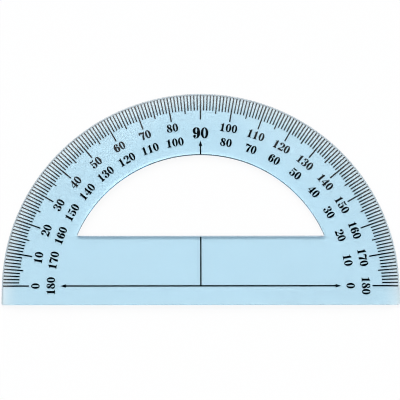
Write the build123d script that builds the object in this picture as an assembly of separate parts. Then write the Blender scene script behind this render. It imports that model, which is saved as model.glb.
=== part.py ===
from build123d import *

import os

# Clear half-round protractor, in millimetres.
# The origin is the measuring point: the middle of the baseline, on the underside.
# +X runs along the baseline to the outer scale's 180, +Y points at 90 and +Z up out
# of the reading side. The printing is on the underside, in shallow stamped recesses
# that the ink fills flush, so the plate still lies flat.

# Plate
EDGE_RADIUS = 75.0          # graduated edge
SKIRT = 7.2                 # straight strip below the baseline
THICKNESS = 2.0
RIM_THICKNESS = 1.0         # at the graduated edge, below the bevel
BEVEL_RADIUS = 69.5         # where the bevel starts
WINDOW_RADIUS = 50.8
WINDOW_BASE = 19.0          # straight edge of the window, above the baseline
CORNER_RADIUS = 0.6         # two lower corners of the plate
WINDOW_CORNER_RADIUS = 0.4

# Ink
INK_DEPTH = 0.05
MARK_END_RADIUS = 74.5      # outer end of every degree mark
ONE_DEGREE_LENGTH = 6.05
FIVE_DEGREE_LENGTH = 7.2
TEN_DEGREE_LENGTH = 9.7
FINE_LINE = 0.45            # one and five degree marks
BOLD_LINE = 0.50            # ten degree marks, baseline, centre line and pointer
ARROW_LENGTH = 2.1
ARROW_WIDTH = 1.35
BASELINE_TIP = 52.95        # tips of the baseline's two arrowheads
POINTER_TIP = 56.45
INK_MARGIN = 0.25           # bare plastic between a line's end and the window

# Numerals
OUTER_ROW_RADIUS = 62.35    # middle of the outer row's figures
INNER_ROW_RADIUS = 56.55
NINETY_RADIUS = 59.5
FIGURE_HEIGHT = 3.2
NINETY_HEIGHT = 4.35
FIGURE_PITCH = 0.72         # step from figure to figure, in figure heights


def outline(start, *runs):
    """A closed face. Each run is a straight line to one point or a curve through several."""
    edges = []
    for run in runs:
        points = [start, *run]
        edges.append(Line(*points) if len(points) == 2 else Spline(*points))
        start = points[-1]
    return make_face(edges)


def oval(x, y, half_width, half_height, lean=0):
    """An ellipse about (x, y), leaning anticlockwise."""
    if half_width > half_height:
        return Pos(x, y) * Rot(0, 0, lean) * Ellipse(half_width, half_height)
    return Pos(x, y) * Rot(0, 0, lean + 90) * Ellipse(half_height, half_width)


# The figures are drawn 100 high and about 66 wide, with x = 0 in the middle: bold,
# with thick sides, thin turns, flat serifs and round drops on the open ends.


def figure_0():
    return oval(0, 50, 33, 50) - oval(0, 50, 10, 42)


def figure_1():
    return outline(
        (-25, 0),
        [(25, 0)],
        [(25, 6)],
        [(15, 9), (12, 18)],
        [(12, 100)],
        [(3, 100)],
        [(-6, 90), (-25, 85)],
        [(-25, 79)],
        [(-12, 79)],
        [(-12, 18)],
        [(-15, 9), (-25, 6)],
        [(-25, 0)],
    )


def figure_2():
    return outline(
        (-31, 0),
        [(-31, 8)],
        [(-22, 22), (0, 42), (9, 66), (6, 86), (-5, 94), (-13, 90)],
        [(-7, 83), (-7, 73), (-14, 65), (-24, 66), (-31, 76), (-24, 92), (0, 100), (24, 92), (33, 74)],
        [(25, 53), (-2, 34), (-15, 21)],
        [(-2, 22), (12, 17), (22, 21), (26, 32)],
        [(32, 32)],
        [(31, 14), (25, 0)],
        [(-31, 0)],
    )


def figure_3():
    return outline(
        (10, 54),
        [(25, 47), (33, 28), (24, 8), (0, 0), (-24, 6), (-32, 21)],
        [(-28, 31), (-19, 34), (-10, 29), (-8, 19), (-13, 9)],
        [(-3, 5), (6, 11), (9, 28), (5, 44), (-5, 51)],
        [(-12, 51)],
        [(-12, 56)],
        [(-3, 57), (5, 65), (7, 79), (3, 91), (-4, 95), (-12, 91)],
        [(-7, 83), (-9, 73), (-18, 68), (-27, 71), (-30, 80)],
        [(-22, 95), (0, 100), (23, 92), (29, 76), (23, 61), (10, 54)],
    )


def figure_4():
    body = outline(
        (1, 0),
        [(23, 0)],
        [(23, 100)],
        [(13, 100)],
        [(-34, 33)],
        [(-34, 23)],
        [(1, 23)],
        [(1, 0)],
    )
    gap = outline((1, 33), [(1, 76)], [(-27, 33)], [(1, 33)])
    bar = Pos(26, 28) * Rectangle(16, 10)
    foot = Pos(12, 3) * Rectangle(44, 6)
    return body - gap + bar + foot


def figure_5():
    return outline(
        (-24, 45),
        [(-24, 100)],
        [(-8, 96), (8, 96), (27, 100)],
        [(22, 86), (6, 80), (-19, 85)],
        [(-19, 58)],
        [(2, 64), (24, 56), (33, 32), (24, 8), (0, 0), (-24, 6), (-32, 21)],
        [(-28, 31), (-19, 34), (-10, 29), (-8, 19), (-13, 9)],
        [(-2, 5), (6, 12), (9, 32), (5, 52), (-5, 57), (-18, 45)],
        [(-24, 45)],
    )


def figure_6():
    body = outline(
        (-6, 56),
        [(-5, 78), (0, 92), (8, 95), (14, 90)],
        [(6, 85), (4, 76), (10, 68), (19, 67), (27, 73), (28, 82)],
        [(20, 95), (3, 100), (-18, 90), (-31, 66), (-33, 38), (-24, 10), (0, 0)],
        [(24, 8), (33, 31), (25, 54), (7, 61)],
        [(0, 60), (-6, 56)],
    )
    return body - oval(1, 29, 8, 23)


def figure_7():
    return outline(
        (-8, 0),
        [(17, 0)],
        [(19, 34), (33, 84)],
        [(33, 100)],
        [(26, 94), (8, 93), (-12, 100), (-27, 92)],
        [(-27, 100)],
        [(-33, 100)],
        [(-33, 64)],
        [(-27, 64)],
        [(-20, 76), (0, 75), (22, 80)],
        [(2, 50), (-8, 0)],
    )


def figure_8():
    body = oval(0, 75, 28, 25) + oval(0, 28, 33, 28)
    return body - oval(4, 77, 8, 17, 20) - oval(-4, 26, 10, 21, 24)


def figure_9():
    return Rot(0, 0, 180) * figure_6()


FIGURES = (
    figure_0,
    figure_1,
    figure_2,
    figure_3,
    figure_4,
    figure_5,
    figure_6,
    figure_7,
    figure_8,
    figure_9,
)


def numeral(value, height):
    """The number's figures side by side, centred on the origin, as a list of faces."""
    digits = [int(digit) for digit in str(value)]
    faces = []
    for place, digit in enumerate(digits):
        figure = scale(FIGURES[digit](), by=height / 100)
        x = (place - (len(digits) - 1) / 2) * FIGURE_PITCH * height
        faces.append(Pos(x, -figure.bounding_box().center().Y) * figure)
    return faces


def around(degrees, radius):
    """The place on the scale at a radius, turned so that +Y points outward."""
    return Rot(0, 0, 90 - degrees) * Pos(0, radius)


def stamped(faces):
    """Ink solids from flat faces on the underside, one for each face."""
    return [extrude(face, INK_DEPTH) for face in faces]


def degree_marks(degrees, length, width):
    mark = Rectangle(width, length)
    return stamped(around(angle, MARK_END_RADIUS - length / 2) * mark for angle in degrees)


def scale_numerals(radius, readings):
    """One row of figures: readings maps each angle from the left to its printed value."""
    faces = []
    for angle, value in readings.items():
        faces += [around(angle, radius) * face for face in numeral(value, FIGURE_HEIGHT)]
    return stamped(faces)


def arrow_head(tip):
    """A triangle that points along +Y, with its tip at that height."""
    half = ARROW_WIDTH / 2
    return outline((0, tip), [(half, tip - ARROW_LENGTH)], [(-half, tip - ARROW_LENGTH)], [(0, tip)])


def upright_line(bottom, top):
    return Pos(0, (bottom + top) / 2) * Rectangle(BOLD_LINE, top - bottom)


def baseline_arrow():
    neck = BASELINE_TIP - ARROW_LENGTH
    double_arrow = upright_line(-neck, neck) + arrow_head(BASELINE_TIP)
    double_arrow += Rot(0, 0, 180) * arrow_head(BASELINE_TIP)
    return stamped([Rot(0, 0, 90) * double_arrow])


def centre_line():
    return stamped([upright_line(BOLD_LINE / 2, WINDOW_BASE - INK_MARGIN)])


def ninety_pointer():
    shaft = upright_line(WINDOW_RADIUS + INK_MARGIN, POINTER_TIP - ARROW_LENGTH)
    return stamped([shaft + arrow_head(POINTER_TIP)])


def ninety_numeral():
    return stamped(Pos(0, NINETY_RADIUS) * face for face in numeral(90, NINETY_HEIGHT))


def plate_blank():
    """Half-round plate with straight skirt, bevelled along the graduated edge and the sides."""
    half_section = make_face(
        Polyline(
            (0, 0),
            (EDGE_RADIUS, 0),
            (EDGE_RADIUS, RIM_THICKNESS),
            (BEVEL_RADIUS, THICKNESS),
            (0, THICKNESS),
            close=True,
        )
    )
    section = half_section + mirror(half_section, Plane.YZ)
    round_part = revolve(Plane.XZ * half_section, Axis.Z, 180)
    skirt = extrude(Plane.XZ * section, SKIRT)
    blank = round_part + skirt
    corners = blank.edges().filter_by(Axis.Z).group_by(Axis.Y)[0]
    return fillet(corners, CORNER_RADIUS)


def window_face():
    below = Pos(0, WINDOW_BASE - WINDOW_RADIUS) * Rectangle(2 * WINDOW_RADIUS, 2 * WINDOW_RADIUS)
    opening = Circle(WINDOW_RADIUS) - below
    return fillet(opening.vertices(), WINDOW_CORNER_RADIUS)


# Ink

tens = range(0, 181, 10)
fives = range(5, 180, 10)
singles = [angle for angle in range(181) if angle % 5]
numbered = [angle for angle in tens if angle != 90]

ink_nodes = {
    "one_degree_marks": degree_marks(singles, ONE_DEGREE_LENGTH, FINE_LINE),
    "five_degree_marks": degree_marks(fives, FIVE_DEGREE_LENGTH, FINE_LINE),
    "ten_degree_marks": degree_marks(tens, TEN_DEGREE_LENGTH, BOLD_LINE),
    "outer_scale_numerals": scale_numerals(OUTER_ROW_RADIUS, {angle: angle for angle in numbered}),
    "inner_scale_numerals": scale_numerals(INNER_ROW_RADIUS, {angle: 180 - angle for angle in numbered}),
    "ninety_numeral": ninety_numeral(),
    "ninety_pointer": ninety_pointer(),
    "baseline_arrow": baseline_arrow(),
    "centre_line": centre_line(),
}

# Plate, with the window cut through it and a recess for every ink solid

recesses = [solid for node in ink_nodes.values() for solid in node]
plate = plate_blank() - extrude(window_face(), THICKNESS)
plate = plate - recesses

# One STEP file for each node

os.makedirs("parts", exist_ok=True)
export_step(plate, "parts/protractor_plate.step")
for name, solids in ink_nodes.items():
    export_step(Compound(children=solids), f"parts/{name}.step")
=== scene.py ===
"""Clear blue half-round protractor, lying on a white table under soft studio light."""

import math

import bmesh
import bpy
from mathutils import Euler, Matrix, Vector


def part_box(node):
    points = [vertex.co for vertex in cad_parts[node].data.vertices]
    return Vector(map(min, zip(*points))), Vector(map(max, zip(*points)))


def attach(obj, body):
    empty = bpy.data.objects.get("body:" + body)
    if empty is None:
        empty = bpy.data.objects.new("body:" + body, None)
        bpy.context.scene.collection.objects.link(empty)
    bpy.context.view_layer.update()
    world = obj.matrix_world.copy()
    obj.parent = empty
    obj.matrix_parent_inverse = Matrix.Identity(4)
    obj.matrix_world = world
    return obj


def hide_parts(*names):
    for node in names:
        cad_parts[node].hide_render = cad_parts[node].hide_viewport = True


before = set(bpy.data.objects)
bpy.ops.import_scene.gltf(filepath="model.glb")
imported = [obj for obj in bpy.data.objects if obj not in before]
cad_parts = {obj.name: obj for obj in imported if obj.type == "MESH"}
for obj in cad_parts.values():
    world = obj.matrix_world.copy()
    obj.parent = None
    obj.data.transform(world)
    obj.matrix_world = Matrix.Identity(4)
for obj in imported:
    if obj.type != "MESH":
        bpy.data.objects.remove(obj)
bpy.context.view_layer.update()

MM = 0.001

# Plate, from the frame's box and the dimensions that the box doesn't give
PLATE_LOW, PLATE_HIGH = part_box("protractor_plate")
EDGE_RADIUS = PLATE_HIGH[0]
SKIRT = -PLATE_LOW[1]
THICKNESS = PLATE_HIGH[2]
RIM_THICKNESS = 1.0 * MM
BEVEL_RADIUS = 69.5 * MM
CORNER_RADIUS = 0.6 * MM
WINDOW_RADIUS = 50.8 * MM
WINDOW_BASE = 19.0 * MM
WINDOW_CORNER_RADIUS = 0.4 * MM
UNDERSIDE = 0.02 * MM          # the ink stands this far below the plastic
EDGE_ROUNDING = 0.12 * MM
ARC_STEPS = 180                # facets in a quarter of the graduated edge
CORNER_STEPS = 5
WINDOW_STEPS = 134
WINDOW_CORNER_STEPS = 6
POLISHED, HONED, SATIN = 0, 1, 2      # material slots: faces, window wall, outer edge

# Camera: the point of the table that it looks at, and how far and how tilted it stands off
TARGET = Vector((-0.24, 33.23, 0.0)) * MM
CAMERA_DISTANCE = 581.9 * MM
CAMERA_TILT = (math.radians(11.79), math.radians(-0.49), math.radians(-0.14))
LENS = 137.0
SENSOR = 36.0

# Finish
PLASTIC_TINT = (0.023, 0.69, 0.97, 1.0)
TINT_DENSITY = 130.0
INK_COLOUR = (0.004, 0.005, 0.006, 1.0)
TABLE_COLOUR = (0.9, 0.9, 0.9, 1.0)
TABLE_DEPTH = 0.1 * MM         # gap that keeps the table clear of the ink
FACE_ROUGHNESS = 0.02
WINDOW_ROUGHNESS = 0.2
EDGE_ROUGHNESS = 0.6
SCRATCH_ROUGHNESS = 0.08
SCRATCH_RUNS = ((23, 0.06), (-51, 0.05), (84, 0.07))     # turn in degrees, and stretch
SCRATCH_FINENESS = 2500.0

# Light
KEY_DIRECTION = (-0.25, 0.75, 0.6)
KEY_FOCUS = 3.0
KEY_STRENGTH = 3.24
KEY_COLOUR = (1.07, 1.0, 0.93, 1.0)
FILL_STRENGTH = 0.68
FILL_COLOUR = (0.88, 1.0, 1.12, 1.0)
HORIZON = (0.1, 0.6)           # heights between which the sky brightens, as a sine of elevation
OVERHEAD = (0.87, 0.95)        # heights between which it fades out again
SHADOW_SOFTENING = 0.9


# Geometry


def arc(centre, radius, start, end, steps):
    """Points along an arc, angles in degrees."""
    points = []
    for step in range(steps + 1):
        angle = math.radians(start + (end - start) * step / steps)
        points.append((centre[0] + radius * math.cos(angle), centre[1] + radius * math.sin(angle)))
    return points


def graduated_arc(radius):
    return arc((0, 0), radius, 0, 90, ARC_STEPS)


def outer_path():
    """Right half of the plate's edge, from the lower corner to the 90 mark."""
    corner = (EDGE_RADIUS - CORNER_RADIUS, CORNER_RADIUS - SKIRT)
    return arc(corner, CORNER_RADIUS, -90, 0, CORNER_STEPS) + graduated_arc(EDGE_RADIUS)


def window_path():
    """Right half of the window's edge, from its straight base to its top."""
    corner_y = WINDOW_BASE + WINDOW_CORNER_RADIUS
    corner_x = math.sqrt((WINDOW_RADIUS - WINDOW_CORNER_RADIUS) ** 2 - corner_y**2)
    tangent = math.degrees(math.atan2(corner_y, corner_x))
    corner = arc((corner_x, corner_y), WINDOW_CORNER_RADIUS, -90, tangent, WINDOW_CORNER_STEPS)
    upper = arc((0, 0), WINDOW_RADIUS, tangent, 90, WINDOW_STEPS)
    return [(0, WINDOW_BASE)] + corner[:-1] + upper


def bevel_height(x, y):
    """Height of the top surface at the edge: the bevel follows the arc and the two sides."""
    reach = math.hypot(x, y) if y > 0 else abs(x)
    rise = (EDGE_RADIUS - reach) / (EDGE_RADIUS - BEVEL_RADIUS)
    return RIM_THICKNESS + (THICKNESS - RIM_THICKNESS) * rise


def half_plate():
    """The right half of the plate as an open shell, ready to be mirrored."""
    mesh = bmesh.new()

    def ring(points, height):
        return [mesh.verts.new((x, y, height(x, y))) for x, y in points]

    def strip(first, second, slot):
        for index in range(len(first) - 1):
            corners = (first[index], first[index + 1], second[index + 1], second[index])
            mesh.faces.new(corners).material_index = slot

    def floor_level(x, y):
        return UNDERSIDE

    def top_level(x, y):
        return THICKNESS

    outer = outer_path()
    window = window_path()
    crest_path = [(BEVEL_RADIUS, -SKIRT)] + graduated_arc(BEVEL_RADIUS)
    low_rim = ring(outer, floor_level)
    high_rim = ring(outer, bevel_height)
    crest = ring(crest_path, top_level)
    low_window = ring(window, floor_level)
    high_window = ring(window, top_level)
    low_foot, high_foot = ring([(0, -SKIRT)], floor_level) + ring([(0, -SKIRT)], top_level)

    arc_start = len(outer) - (ARC_STEPS + 1)
    strip(low_rim, high_rim, SATIN)
    strip(high_rim[arc_start:], crest[1:], POLISHED)
    strip(high_window, low_window, HONED)
    mesh.faces.new(high_rim[: arc_start + 1] + [crest[1], crest[0]])
    mesh.faces.new([low_foot, low_rim[0], high_rim[0], crest[0], high_foot]).material_index = SATIN
    mesh.faces.new([high_foot] + crest + high_window[::-1])
    mesh.faces.new([low_foot] + low_window + low_rim[::-1])
    bmesh.ops.recalc_face_normals(mesh, faces=mesh.faces)
    return mesh


def add_object(name, mesh):
    data = bpy.data.meshes.new(name)
    mesh.to_mesh(data)
    mesh.free()
    piece = bpy.data.objects.new(name, data)
    bpy.context.scene.collection.objects.link(piece)
    return piece


def make_plate():
    mesh = half_plate()
    for face in mesh.faces:
        face.smooth = True
    piece = add_object("clear_plate", mesh)
    mirror = piece.modifiers.new("other half", "MIRROR")
    mirror.use_axis = (True, False, False)
    mirror.merge_threshold = 0.001 * MM
    edges = piece.modifiers.new("softened edges", "BEVEL")
    edges.width = EDGE_ROUNDING
    edges.segments = 4
    edges.limit_method = "ANGLE"
    edges.angle_limit = math.radians(35)
    edges.use_clamp_overlap = False
    edges.harden_normals = True
    piece.data.materials.append(clear_plastic("clear_blue_plastic", FACE_ROUGHNESS))
    piece.data.materials.append(clear_plastic("clear_blue_window", WINDOW_ROUGHNESS))
    piece.data.materials.append(clear_plastic("clear_blue_edge", EDGE_ROUGHNESS))
    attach(piece, "root")
    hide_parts("protractor_plate")


# Materials


def new_material(name):
    material = bpy.data.materials.new(name)
    material.use_nodes = True
    tree = material.node_tree
    return material, tree, tree.nodes["Principled BSDF"]


def calculate(tree, operation, first, second):
    """A maths node on two numbers, each a plain value or another node's output."""
    node = tree.nodes.new("ShaderNodeMath")
    node.operation = operation
    for socket, value in zip(node.inputs, (first, second)):
        if isinstance(value, float):
            socket.default_value = value
        else:
            tree.links.new(value, socket)
    return node.outputs[0]


def noise(tree, scale, detail=2.0, turn=0, stretch=1.0):
    """Noise over the object's own coordinates, scale in cells per metre."""
    place = tree.nodes.new("ShaderNodeTexCoord")
    lay = tree.nodes.new("ShaderNodeMapping")
    lay.inputs["Rotation"].default_value = (0, 0, math.radians(turn))
    lay.inputs["Scale"].default_value = (stretch, 1.0, 1.0)
    texture = tree.nodes.new("ShaderNodeTexNoise")
    texture.inputs["Scale"].default_value = scale
    texture.inputs["Detail"].default_value = detail
    tree.links.new(place.outputs["Object"], lay.inputs["Vector"])
    tree.links.new(lay.outputs["Vector"], texture.inputs["Vector"])
    return texture.outputs["Fac"]


def remap(tree, source, low, high):
    span = tree.nodes.new("ShaderNodeMapRange")
    span.inputs["To Min"].default_value = low
    span.inputs["To Max"].default_value = high
    tree.links.new(source, span.inputs["Value"])
    return span.outputs["Result"]


def scratches(tree):
    """Sparse hairline scratches, 1 along them and 0 on the sound surface between."""
    lines = 0.0
    for turn, stretch in SCRATCH_RUNS:
        line = tree.nodes.new("ShaderNodeMapRange")
        line.inputs["From Min"].default_value = 0.72
        line.inputs["From Max"].default_value = 0.80
        tree.links.new(noise(tree, SCRATCH_FINENESS, 1.0, turn, stretch), line.inputs["Value"])
        lines = calculate(tree, "MAXIMUM", lines, line.outputs["Result"])
    return lines


def clear_plastic(name, roughness):
    """Clear moulded plastic whose blue deepens with the depth that light crosses."""
    material, tree, shader = new_material(name)
    shader.inputs["Base Color"].default_value = (1.0, 1.0, 1.0, 1.0)
    shader.inputs["Transmission Weight"].default_value = 1.0
    shader.inputs["IOR"].default_value = 1.5
    worn = remap(tree, scratches(tree), roughness, roughness + SCRATCH_ROUGHNESS)
    tree.links.new(worn, shader.inputs["Roughness"])
    ripple = tree.nodes.new("ShaderNodeBump")
    ripple.inputs["Strength"].default_value = 0.05
    ripple.inputs["Distance"].default_value = 0.05 * MM
    tree.links.new(noise(tree, 90.0), ripple.inputs["Height"])
    tree.links.new(ripple.outputs["Normal"], shader.inputs["Normal"])
    depth = tree.nodes.new("ShaderNodeVolumeAbsorption")
    depth.inputs["Color"].default_value = PLASTIC_TINT
    depth.inputs["Density"].default_value = TINT_DENSITY
    tree.links.new(depth.outputs["Volume"], tree.nodes["Material Output"].inputs["Volume"])
    return material


def black_ink():
    """Stamped black foil. It is in close contact with the plastic above, so it hardly shines."""
    material, tree, shader = new_material("black_ink")
    shader.inputs["Base Color"].default_value = INK_COLOUR
    shader.inputs["Specular IOR Level"].default_value = 0.08
    tree.links.new(remap(tree, noise(tree, 2500.0), 0.3, 0.5), shader.inputs["Roughness"])
    return material


def white_table():
    """White paper whose shadows are softened where the lens sees it directly."""
    material, tree, shader = new_material("white_table")
    shader.inputs["Base Color"].default_value = TABLE_COLOUR
    shader.inputs["Roughness"].default_value = 0.9
    shader.inputs["Specular IOR Level"].default_value = 0.0
    lift = tree.nodes.new("ShaderNodeEmission")
    path = tree.nodes.new("ShaderNodeLightPath")
    mix = tree.nodes.new("ShaderNodeMixShader")
    share = calculate(tree, "MULTIPLY", path.outputs["Is Camera Ray"], SHADOW_SOFTENING)
    tree.links.new(share, mix.inputs["Fac"])
    tree.links.new(shader.outputs["BSDF"], mix.inputs[1])
    tree.links.new(lift.outputs["Emission"], mix.inputs[2])
    tree.links.new(mix.outputs["Shader"], tree.nodes["Material Output"].inputs["Surface"])
    return material


# Studio


def make_table():
    mesh = bmesh.new()
    bmesh.ops.create_grid(mesh, x_segments=1, y_segments=1, size=3.0)
    table = add_object("table", mesh)
    table.location.z = -TABLE_DEPTH
    table.data.materials.append(white_table())


def make_camera():
    data = bpy.data.cameras.new("camera")
    data.lens = LENS
    data.sensor_width = SENSOR
    data.clip_start = 0.01
    camera = bpy.data.objects.new("camera", data)
    camera.rotation_euler = Euler(CAMERA_TILT)
    camera.location = TARGET + camera.rotation_euler.to_matrix() @ Vector((0, 0, CAMERA_DISTANCE))
    bpy.context.scene.collection.objects.link(camera)
    bpy.context.scene.camera = camera


def make_light():
    """A wide soft light from behind and a cool fill, both dark at the horizon and overhead."""
    world = bpy.data.worlds.new("studio")
    bpy.context.scene.world = world
    world.use_nodes = True
    tree = world.node_tree
    place = tree.nodes.new("ShaderNodeTexCoord")

    facing = tree.nodes.new("ShaderNodeVectorMath")
    facing.operation = "DOT_PRODUCT"
    facing.inputs[1].default_value = Vector(KEY_DIRECTION).normalized()
    tree.links.new(place.outputs["Generated"], facing.inputs[0])
    ahead = calculate(tree, "MAXIMUM", facing.outputs["Value"], 0.0)
    lobe = calculate(tree, "POWER", ahead, KEY_FOCUS)
    split = tree.nodes.new("ShaderNodeSeparateXYZ")
    tree.links.new(place.outputs["Generated"], split.inputs["Vector"])

    def ramp(start, end):
        """0 at the start height of the sky and 1 at the end height, smooth between."""
        node = tree.nodes.new("ShaderNodeMapRange")
        node.interpolation_type = "SMOOTHSTEP"
        node.inputs["From Min"].default_value = start
        node.inputs["From Max"].default_value = end
        tree.links.new(split.outputs["Z"], node.inputs["Value"])
        return node.outputs["Result"]

    above_horizon = ramp(*HORIZON)
    below_overhead = calculate(tree, "SUBTRACT", 1.0, ramp(*OVERHEAD))
    shade = calculate(tree, "MULTIPLY", above_horizon, below_overhead)
    fill = tree.nodes["Background"]
    fill.inputs["Color"].default_value = FILL_COLOUR
    fill_glow = calculate(tree, "MULTIPLY", shade, FILL_STRENGTH)
    tree.links.new(fill_glow, fill.inputs["Strength"])
    key = tree.nodes.new("ShaderNodeBackground")
    key.inputs["Color"].default_value = KEY_COLOUR
    key_level = calculate(tree, "MULTIPLY", lobe, KEY_STRENGTH)
    key_glow = calculate(tree, "MULTIPLY", key_level, shade)
    tree.links.new(key_glow, key.inputs["Strength"])
    both = tree.nodes.new("ShaderNodeAddShader")
    tree.links.new(fill.outputs["Background"], both.inputs[0])
    tree.links.new(key.outputs["Background"], both.inputs[1])
    tree.links.new(both.outputs["Shader"], tree.nodes["World Output"].inputs["Surface"])


def set_picture():
    """True whites, and light through the plastic that stays sharp."""
    scene = bpy.context.scene
    scene.view_settings.view_transform = "Standard"
    scene.cycles.blur_glossy = 0.0
    scene.cycles.filter_width = 1.0


def ink_the_scales():
    ink = black_ink()
    for name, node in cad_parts.items():
        if name != "protractor_plate":
            node.data.materials.clear()
            node.data.materials.append(ink)


make_camera()
make_table()
make_light()
set_picture()
make_plate()
ink_the_scales()
